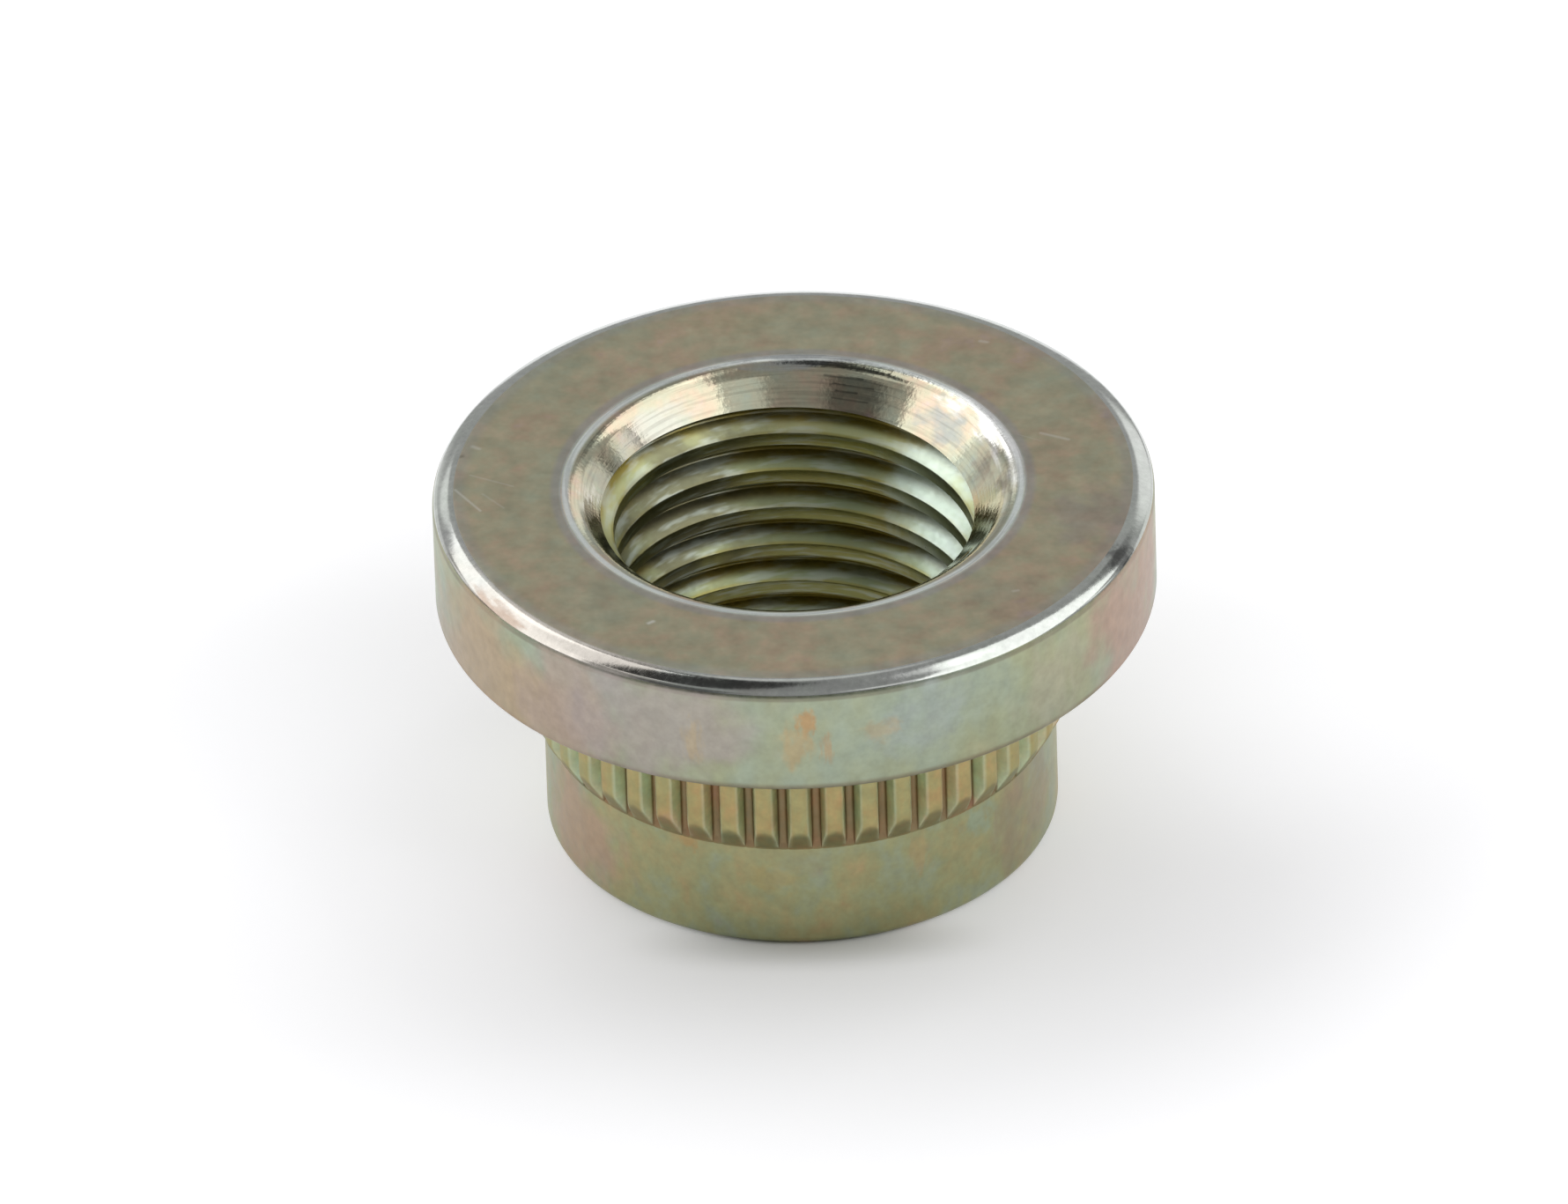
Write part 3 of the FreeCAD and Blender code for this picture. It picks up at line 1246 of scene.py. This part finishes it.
    def _relief(self) -> bpy.types.NodeSocket:
        """Stack the bumps of waves, turning marks and satin into one normal."""
        waves = self.noise(self.where["Place"], self.WAVE_SEED, 1.0)
        heights = (
            (waves, self.finish.wave_height),
            (self.marks["Height"], self.finish.mark_height),
            (self.satin, self.finish.satin_height),
        )
        normal = {}
        for height, reach in heights:
            if reach > 0:
                bump = self.add("ShaderNodeBump", {"Height": height, "Distance": reach * MM, **normal})
                normal = {"Normal": bump.outputs["Normal"]}
        return normal["Normal"]


def nut_finishes(sizes: NutSizes) -> dict[Surface, Finish]:
    """List the finish of every kind of surface.

    Args:
        sizes: The nut's sizes, which place the bands.

    Returns:
        A finish for each kind of surface.
    """
    lip = sizes.countersink_radius + sizes.lip_reach
    top = sizes.total_height
    # The ribs' end bevels, which painted shade darkens where they face down, and their coordinate, which
    # grows from the middle of a rib to its sides.
    shaded_rib_end = (-sizes.collar_end_bevel / sizes.rib_height, 1.0, 0.2)
    shaded_rib_end_foot = sizes.pilot_length + shaded_rib_end[0] * sizes.pilot_radius
    # Where painted shade darkens the flange's lower edge, over the ribs.
    shaded_lower_edge = TO_LOWER_EDGE[0] * (sizes.flange_radius - sizes.flange_underside)
    # Where the wall turns into the edge bevel, which painted shade lines, and the middle of the thread's
    # highest turn, which painted light brightens.
    shaded_crease = top - 0.29
    lit_highest_turn = top - 1.05
    return {
        Surface.FACE: Finish(
            metal=(0.430, 0.417, 0.388),
            film=0.46,
            film_spread=0.17,
            blotch_size=1.4,
            roughness=0.31,
            roughness_spread=0.01,
            satin_size=0.17,
            satin_height=0.0,
            satin_contrast=0.10,
            wave_height=0.001,
            mottle_size=0.53,
            mottle_contrast=0.28,
            bands=(
                # Painted highlight on the outer edge of the lip.
                Band(OUTWARD, lip, 0.01, 0.05, (0.56, 0.60, 0.64), 0.6, 0.2),
                Band(OUTWARD, lip + 0.12, 0.03, 0.16, (0.37, 0.36, 0.39), 0.6, 0.3),
                Band(OUTWARD, sizes.flange_radius - 0.55, 0.06, 0.30, (0.36, 0.38, 0.42), 0.35, 0.4),
            ),
            blotches=(
                Blotch((7.2, -1.6, top), (1.6, 1.6, 1.0), (0.36, 0.29, 0.27), 0.45),
                Blotch((5.2, -4.9, top), (1.5, 1.2, 1.0), (0.38, 0.30, 0.23), 0.40),
                Blotch((-1.5, 6.9, top), (1.6, 0.6, 1.0), (0.40, 0.35, 0.22), 0.35),
                Blotch((-4.6, -4.4, top), (1.3, 1.6, 1.0), (0.36, 0.35, 0.26), 0.35),
            ),
            scratches=(
                Scratch((-7.95, 0.1, top), (-7.35, -0.8, top), 0.06, 0.35),
                Scratch((-7.6, 0.7, top), (-6.6, 0.2, top), 0.05, 0.16),
                Scratch((-7.3, -0.1, top), (-6.8, -0.7, top), 0.05, 0.14),
                Scratch((5.85, 1.93, top), (6.49, 1.64, top), 0.08, 0.28),
                Scratch((5.3, 1.9, top), (5.85, 1.6, top), 0.03, 0.12),
                Scratch((-3.38, -5.62, top), (-3.28, -5.55, top), 0.09, 0.55),
                Scratch((-7.9, 1.45, top), (-7.8, 1.5, top), 0.10, -0.4),
                Scratch((-7.55, 1.9, top), (-7.4, 1.8, top), 0.10, 0.3),
                Scratch((5.15, -4.63, top), (5.25, -4.6, top), 0.08, 0.25),
                Scratch((4.45, 5.87, top), (4.6, 5.82, top), 0.09, 0.3),
            ),
        ),
        Surface.RIM_BEVEL: Finish(
            metal=(0.545, 0.515, 0.475),
            film=0.04,
            film_spread=0.03,
            roughness=0.12,
            roughness_spread=0.03,
            satin_height=0.0010,
            satin_contrast=0.14,
            mottle_size=0.28,
            mottle_contrast=0.16,
            wave_height=0.004,
            blotches=(
                Blotch((-6.2, -5.5, 8.9), (5.0, 5.0, 2.0), (0.49, 0.445, 0.40), 0.8),
                Blotch((7.65, -3.15, 8.88), (0.55, 0.60, 0.40), (0.13, 0.13, 0.13), 0.75),
                Blotch((-6.9, -4.6, 8.82), (1.2, 1.6, 0.12), (0.30, 0.20, 0.14), 0.6),
            ),
        ),
        Surface.FLANGE_WALL: Finish(
            metal=(0.365, 0.36, 0.30),
            film=0.26,
            film_spread=0.17,
            blotch_size=3.2,
            blotch_stretch=1.4,
            roughness=0.38,
            satin_size=0.12,
            satin_contrast=0.14,
            mottle_size=0.32,
            mottle_contrast=0.20,
            bands=(
                # Painted shade along the flange's lower edge.
                Band(TO_LOWER_EDGE, shaded_lower_edge, 0.05, 0.10, (0.20, 0.16, 0.11), 0.75, 0.6),
                # Painted shade in the crease under the edge bevel.
                Band(UPWARD, shaded_crease, 0.02, 0.07, (0.15, 0.12, 0.09), 0.5, 0.6),
            ),
            blotches=(
                Blotch((-7.5, -4.3, 7.3), (4.6, 5.2, 2.6), (0.43, 0.31, 0.205), 0.78),
                Blotch((-5.3, -6.7, 7.5), (2.4, 2.0, 2.6), (0.395, 0.315, 0.26), 0.80),
                Blotch((-3.3, -7.85, 7.6), (3.4, 1.6, 2.4), (0.365, 0.315, 0.30), 0.70),
                Blotch((3.2, -7.9, 7.8), (1.6, 1.0, 1.2), (0.33, 0.37, 0.35), 0.55),
                Blotch((6.0, -6.0, 7.3), (1.3, 1.3, 2.0), (0.39, 0.37, 0.275), 0.60),
                Blotch((7.9, -3.0, 7.3), (2.6, 3.3, 3.0), (0.41, 0.285, 0.22), 0.92),
                Blotch((0.28, -8.5, 8.05), (0.30, 0.6, 0.45), (0.46, 0.27, 0.12), 0.75),
                Blotch((0.05, -8.5, 7.4), (0.50, 0.7, 0.80), (0.44, 0.33, 0.18), 0.65),
                Blotch((0.72, -8.5, 7.3), (0.20, 0.6, 0.60), (0.43, 0.29, 0.16), 0.60),
                Blotch((-2.4, -8.15, 7.4), (0.32, 0.5, 0.65), (0.43, 0.34, 0.21), 0.60),
                Blotch((1.97, -8.27, 7.65), (0.55, 0.6, 0.40), (0.42, 0.33, 0.20), 0.50),
            ),
        ),
        Surface.COLLAR: Finish(
            metal=(0.58, 0.605, 0.53),
            film=0.42,
            film_spread=0.20,
            blotch_size=0.8,
            blotch_stretch=1.6,
            roughness=0.5,
            satin_contrast=0.16,
            mottle_size=0.32,
            mottle_contrast=0.20,
            bands=(
                Band(OFF_RIB, 0.0, 0.15, 0.09, (0.43, 0.375, 0.235)),
                # A reddish brown on the groove floors, darkened as painted shade in the grooves.
                Band(OUTWARD, sizes.groove_floor_radius - 0.03, 0.07, 0.07, (0.275, 0.205, 0.15)),
                # Painted shade on the ribs' end bevels, which face down towards the pilot.
                Band(shaded_rib_end, shaded_rib_end_foot, 0.02, 0.11, (0.25, 0.225, 0.145), 0.85),
            ),
        ),
        Surface.PILOT: Finish(
            metal=(0.380, 0.356, 0.254),
            film=0.33,
            film_spread=0.26,
            blotch_size=1.2,
            blotch_stretch=1.2,
            roughness=0.38,
            satin_size=0.12,
            satin_contrast=0.14,
            mottle_size=0.32,
            mottle_contrast=0.16,
            blotches=(
                Blotch((-5.5, -2.8, 1.7), (2.0, 2.4, 2.4), (0.46, 0.32, 0.23), 0.80),
                Blotch((-2.66, -5.43, 2.7), (0.45, 0.5, 0.35), (0.46, 0.31, 0.14), 0.75),
                Blotch((-0.6, -6.0, 1.9), (0.8, 0.5, 0.5), (0.43, 0.35, 0.16), 0.60),
                Blotch((-0.1, -6.05, 2.6), (1.6, 0.6, 0.7), (0.37, 0.345, 0.19), 0.55),
                Blotch((4.17, -4.38, 2.4), (0.6, 0.6, 0.6), (0.33, 0.41, 0.30), 0.70),
                Blotch((2.8, -5.35, 2.1), (0.4, 0.4, 0.8), (0.45, 0.34, 0.17), 0.65),
                Blotch((4.9, -3.5, 1.5), (0.7, 0.9, 1.6), (0.34, 0.275, 0.185), 0.55),
                Blotch((5.6, -2.5, 2.0), (1.3, 1.8, 2.2), (0.33, 0.28, 0.205), 0.60),
            ),
        ),
        Surface.COUNTERSINK: Finish(
            metal=(0.475, 0.465, 0.46),
            film=0.45,
            film_spread=0.24,
            blotch_size=1.5,
            roughness=0.12,
            mark_across=ALONG_CONE,
            mark_pitch=0.07,
            mark_run=0.35,
            mark_height=0.004,
            mark_strength=0.24,
            # A burnished ring at the lip, painted near white as a highlight.
            bands=(Band(OUTWARD, lip - 0.10, 0.04, 0.09, (0.90, 0.96, 0.96), 0.95, 0.1),),
            blotches=(
                Blotch((5.0, 0.1, 8.75), (0.35, 0.7, 0.5), (0.14, 0.10, 0.07), 0.6),
                Blotch((4.5, 1.3, 8.5), (0.6, 0.6, 0.4), (0.30, 0.22, 0.17), 0.5),
                Blotch((-4.6, 1.1, 8.5), (0.5, 0.8, 0.4), (0.36, 0.33, 0.28), 0.45),
                # Painted shade that dims the countersink's highlight at the right.
                Blotch((3.5, 2.9, 8.56), (1.1, 1.1, 0.46), (0.31, 0.33, 0.31), 0.85),
                # Painted light on the countersink's left and right ends.
                Blotch((-4.75, -0.3, 8.6), (0.5, 1.1, 0.5), (0.76, 0.72, 0.64), 0.75),
                Blotch((4.75, -0.6, 8.6), (0.5, 0.9, 0.5), (0.76, 0.72, 0.63), 0.70),
                Blotch((-3.4, 3.4, 8.45), (1.6, 1.6, 0.5), (0.51, 0.51, 0.47), 0.6),
                Blotch((0.0, 5.35, 8.97), (2.6, 0.5, 0.5), (0.46, 0.48, 0.49), 0.8),
                # Painted highlight on the lip ring at the right.
                Blotch((4.8, 2.4, 8.97), (1.6, 3.0, 0.3), (1.0, 1.0, 1.0), 0.9),
            ),
            scratches=(
                Scratch((0.75, 4.88, 8.80), (1.65, 4.65, 8.80), 0.05, -0.55),
                Scratch((0.95, 4.72, 8.67), (1.90, 4.42, 8.67), 0.04, -0.60),
                Scratch((1.00, 4.58, 8.55), (1.50, 4.44, 8.55), 0.05, -0.65),
                Scratch((0.90, 4.48, 8.42), (1.75, 4.22, 8.42), 0.04, -0.50),
                Scratch((-4.62, 2.08, 8.82), (-4.50, 1.92, 8.62), 0.12, -0.55),
            ),
        ),
        Surface.THREAD: Finish(
            metal=(0.36, 0.38, 0.27),
            film=0.32,
            film_spread=0.10,
            blotch_size=1.2,
            roughness=0.34,
            satin_size=0.14,
            satin_contrast=0.06,
            mottle_contrast=0.10,
            mark_across=UPWARD,
            mark_pitch=0.10,
            mark_run=0.22,
            mark_strength=0.4,
            mark_colour=(0.60, 0.68, 0.64),
            bands=(
                # Painted light on the highest turn of the thread, nearest the open top.
                Band(UPWARD, lit_highest_turn, 0.50, 0.10, (0.57, 0.55, 0.36), 0.8),
                # Painted shade in the thread's roots.
                Band(OUTWARD, sizes.thread_major_radius, 0.12, 0.22, (0.30, 0.22, 0.06), 0.95),
                Band(OUTWARD, sizes.crest_radius, 0.03, 0.06, (0.38, 0.34, 0.16)),
            ),
            blotches=(
                # Painted light on the thread's flanks at the right of the bore.
                Blotch((3.7, 2.9, 6.8), (2.1, 2.2, 3.8), (0.60, 0.72, 0.66), 0.70),
                # Painted shade on the thread's flanks at the left of the bore.
                Blotch((-2.9, 3.4, 6.1), (4.0, 2.8, 4.0), (0.165, 0.16, 0.10), 0.90),
            ),
        ),
    }


@dataclass(frozen=True)
class Softbox:
    """One soft light, aimed at the nut.

    Attributes:
        name: The light's name.
        azimuth: Direction from the nut, in degrees from +X towards +Y.
        elevation: Angle above the floor, in degrees.
        distance: Distance from the nut, in metres.
        width: Size across, in metres.
        height: Size up and down, in metres.
        radiance: Brightness of its face, where 1 is white.
        roll: How far it is turned about its own beam, in degrees.
    """

    name: str
    azimuth: float
    elevation: float
    distance: float
    width: float
    height: float
    radiance: float
    roll: float = 0.0

    def build(self, target: Vector) -> bpy.types.Object:
        """Build the area light.

        Args:
            target: The point that it looks at.

        Returns:
            The light's object.
        """
        light = bpy.data.lights.new(self.name, "AREA")
        light.shape = "RECTANGLE"
        light.size = self.width
        light.size_y = self.height
        light.energy = self.radiance * math.pi * self.width * self.height
        made = bpy.data.objects.new(self.name, light)
        bpy.context.scene.collection.objects.link(made)
        away = direction(self.azimuth, self.elevation)
        made.location = target + away * self.distance
        made.rotation_mode = "QUATERNION"
        roll = Quaternion((0, 0, 1), math.radians(self.roll))
        made.rotation_quaternion = away.to_track_quat("Z", "Y") @ roll
        return made


def direction(azimuth: float, elevation: float) -> Vector:
    """Return the unit vector at an azimuth from +X and an elevation above the floor, in degrees."""
    turn = math.radians(azimuth)
    lift = math.radians(elevation)
    return Vector((math.cos(turn) * math.cos(lift), math.sin(turn) * math.cos(lift), math.sin(lift)))


@dataclass(frozen=True)
class SkyPatch:
    """A round part of the studio's surroundings that is brighter or darker than the rest.

    Attributes:
        azimuth: Direction from the nut, in degrees from +X towards +Y.
        elevation: Angle above the floor, in degrees.
        radius: How far it goes from its middle, in degrees.
        edge: Width of its soft edge, in degrees.
        strength: Brightness, where 1 is white.
    """

    azimuth: float
    elevation: float
    radius: float
    edge: float
    strength: float


@dataclass(frozen=True)
class PaintedFloorSpot:
    """An oval of painted light or painted shadow on the floor, where it glows more or less than the rest.
    Lengths are in millimetres.

    Attributes:
        middle: Where it lies, in X and Y.
        reach: How far it goes along X and Y.
        strength: What it adds to the glow.
    """

    middle: Point
    reach: Point
    strength: float


@dataclass
class Studio:
    """Floor, world, lights and camera."""

    target: Vector
    floor_size: float = 6.0
    floor_albedo: float = 0.86
    # Glow of the floor by distance from the nut, in millimetres: low near the nut as a painted shadow round
    # it, high far off so that the floor reads white.
    glow_levels_with_painted_shadow: tuple[Point, ...] = (
        (0, 0.20), (6, 0.205), (9, 0.235), (12, 0.28), (16, 0.35), (20, 0.42), (24, 0.475), (28, 0.50),
    )
    glow_colour: Colour = (0.99, 0.99, 1.04)
    # Painted light beside the nut on the left and right, and painted shadow in front of the pilot.
    painted_floor_spots: tuple[PaintedFloorSpot, ...] = (
        PaintedFloorSpot((-9.0, -0.5), (10.0, 10.0), 0.16),
        PaintedFloorSpot((10.5, 2.0), (7.0, 6.0), 0.07),
        PaintedFloorSpot((0.2, -5.9), (5.0, 1.4), -0.22),
    )
    painted_floor_spot_core: float = 0.15
    camera_azimuth: float = -89.05
    camera_elevation: float = 34.44
    camera_roll: float = -1.82
    camera_distance: float = 0.6728
    camera_lens: float = 655.1
    camera_sensor: float = 36.0
    camera_clips: Point = (0.01, 20.0)
    look_at_x: float = -0.30
    look_at_z: float = 5.661
    sky_levels: tuple[Point, ...] = ((0, 0.47), (20, 0.49), (33, 0.52), (42, 0.50), (60, 0.41), (90, 0.36))
    sky_patches: tuple[SkyPatch, ...] = (
        SkyPatch(262, 24, 32, 16, 0.12),
        SkyPatch(270, 62, 22, 10, 0.39),
        SkyPatch(90, 56, 4, 3, 0.80),
        SkyPatch(226, 50, 9, 8, 0.14),
        SkyPatch(47, 6, 12, 8, 1.1),
        SkyPatch(128, 5, 12, 8, 0.95),
        SkyPatch(64, 20, 9, 5, 1.25),
        SkyPatch(115, 25, 4, 3, 1.15),
        SkyPatch(56, 40, 5, 2, 0.25),
        SkyPatch(151, 17, 6, 5, 1.2),
        SkyPatch(107, 45, 4, 4, 1.0),
        SkyPatch(118, 51, 4, 3, 0.95),
        SkyPatch(40, 69, 4, 3, 0.95),
        SkyPatch(306, 53, 7, 7, 0.88),
        SkyPatch(174, 66, 4, 4, 0.95),
        SkyPatch(19, 26, 5, 2, 1.35),
        SkyPatch(31, 16, 3, 2, 0.12),
        SkyPatch(130, 68, 13, 3, 0.05),
    )
    softboxes: list[Softbox] = field(
        default_factory=lambda: [
            Softbox("left softbox", 156, 43, 0.45, 0.53, 0.29, 1.42, -26),
            Softbox("right softbox", -5, 48, 0.45, 0.63, 0.30, 1.40, 28),
        ]
    )

    def build(self) -> None:
        """Build the whole studio and report it."""
        self.build_floor()
        self.build_world()
        for softbox in self.softboxes:
            softbox.build(self.target)
            LOG.info("light %s", softbox.name)
        self.build_camera()

    def build_floor(self) -> None:
        """Lay the pale floor."""
        half = self.floor_size / 2 / MM
        corners = [(-half, -half, 0.0), (half, -half, 0.0), (half, half, 0.0), (-half, half, 0.0)]
        floor = mesh_object("floor", corners, [[0, 1, 2, 3]])
        floor.data.materials.append(self.floor_material())

    def floor_material(self) -> bpy.types.Material:
        """Make the floor's material: matt and pale, with a glow that camera and reflections see, lowered near
        the nut as a painted shadow and raised or lowered in spots as painted light and painted shadow.
        """
        material = bpy.data.materials.new("studio floor")
        material.use_nodes = True
        material.node_tree.nodes.clear()
        nodes = NodeTree(material.node_tree)
        paint = nodes.add("ShaderNodeBsdfDiffuse", {"Color": grey(self.floor_albedo)})
        path = nodes.add("ShaderNodeLightPath")
        seen = nodes.math("MAXIMUM", path.outputs["Is Camera Ray"], path.outputs["Is Glossy Ray"])
        shown = nodes.math("MAXIMUM", seen, path.outputs["Is Transmission Ray"])
        place = nodes.add("ShaderNodeTexCoord").outputs["Object"]
        distance = nodes.vector_math("LENGTH", place)
        # The glow is lower near the nut: a painted shadow round it, fading out towards the white far floor.
        furthest = self.glow_levels_with_painted_shadow[-1][0]
        stops = [(away / furthest, grey(level)) for away, level in self.glow_levels_with_painted_shadow]
        ring = nodes.ramp(nodes.math("DIVIDE", distance, furthest * MM), stops)
        # Painted light and painted shadow: spots that raise or lower the glow.
        for spot in self.painted_floor_spots:
            middle = (spot.middle[0] * MM, spot.middle[1] * MM, 0.0)
            reach = (spot.reach[0] * MM, spot.reach[1] * MM, 1.0)
            share = nodes.vector_math("DIVIDE", nodes.vector_math("SUBTRACT", place, middle), reach)
            inside = nodes.fade(nodes.vector_math("LENGTH", share), self.painted_floor_spot_core, 1.0)
            ring = nodes.math("MULTIPLY_ADD", inside, spot.strength, ring)
        strength = nodes.math("MULTIPLY", shown, ring)
        glow = nodes.add("ShaderNodeEmission", {"Color": self.glow_colour, "Strength": strength})
        both = nodes.add("ShaderNodeAddShader", {0: paint.outputs[0], 1: glow.outputs[0]})
        nodes.add("ShaderNodeOutputMaterial", {"Surface": both.outputs[0]})
        return material

    def build_world(self) -> None:
        """Light the scene from all round: pale at the horizon and dim overhead, white behind the object."""
        world = bpy.data.worlds.new("studio")
        bpy.context.scene.world = world
        world.use_nodes = True
        world.node_tree.nodes.clear()
        nodes = NodeTree(world.node_tree)
        looking = nodes.add("ShaderNodeTexCoord").outputs["Generated"]
        _, _, height = nodes.split(looking)
        stops = [(math.sin(math.radians(elevation)), grey(level)) for elevation, level in self.sky_levels]
        dimming = nodes.ramp(height, stops)
        for patch in self.sky_patches:
            middle = direction(patch.azimuth, patch.elevation)
            closeness = nodes.vector_math("DOT_PRODUCT", looking, middle)
            away = nodes.math("DEGREES", nodes.math("ARCCOSINE", closeness))
            share = nodes.fade(away, patch.radius, patch.radius + patch.edge)
            dimming = nodes.mix(share, dimming, grey(patch.strength))
        path = nodes.add("ShaderNodeLightPath")
        shown = nodes.mix(path.outputs["Is Camera Ray"], dimming, WHITE)
        sky = nodes.add("ShaderNodeBackground", {"Color": shown})
        nodes.add("ShaderNodeOutputWorld", {"Surface": sky.outputs[0]})

    def build_camera(self) -> None:
        """Set the camera where the photograph was taken from."""
        lens = bpy.data.cameras.new("camera")
        lens.lens = self.camera_lens
        lens.sensor_width = self.camera_sensor
        lens.clip_start, lens.clip_end = self.camera_clips
        camera = bpy.data.objects.new("camera", lens)
        bpy.context.scene.collection.objects.link(camera)
        back = direction(self.camera_azimuth, self.camera_elevation)
        level = Vector((0, 0, 1)).cross(back).normalized()
        upright = back.cross(level)
        roll = math.radians(self.camera_roll)
        right = level * math.cos(roll) + upright * math.sin(roll)
        up = upright * math.cos(roll) - level * math.sin(roll)
        look_at = Vector((self.look_at_x, 0, self.look_at_z)) * MM
        pose = Matrix((right, up, back)).transposed().to_4x4()
        pose.translation = look_at + back * self.camera_distance
        camera.matrix_world = pose
        bpy.context.scene.camera = camera


def main() -> None:
    """Build the nut and its studio."""
    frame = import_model()
    bpy.context.scene.view_settings.view_transform = "Standard"
    sizes = NutSizes.from_frame(frame)
    groups = FinishGroups(sizes.rib_count)
    finishes = nut_finishes(sizes)
    materials = {surface: Dressing(groups, surface, finishes[surface]).build() for surface in Surface}
    piece = NutBody(sizes).build(Patterns(), materials)
    LOG.info("%s: %d faces", piece.name, len(piece.data.polygons))
    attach(piece, "root")
    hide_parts(NODE_NAME)
    Studio(target=Vector((0, 0, sizes.total_height / 2 * MM))).build()


if __name__ == "__main__":
    main()
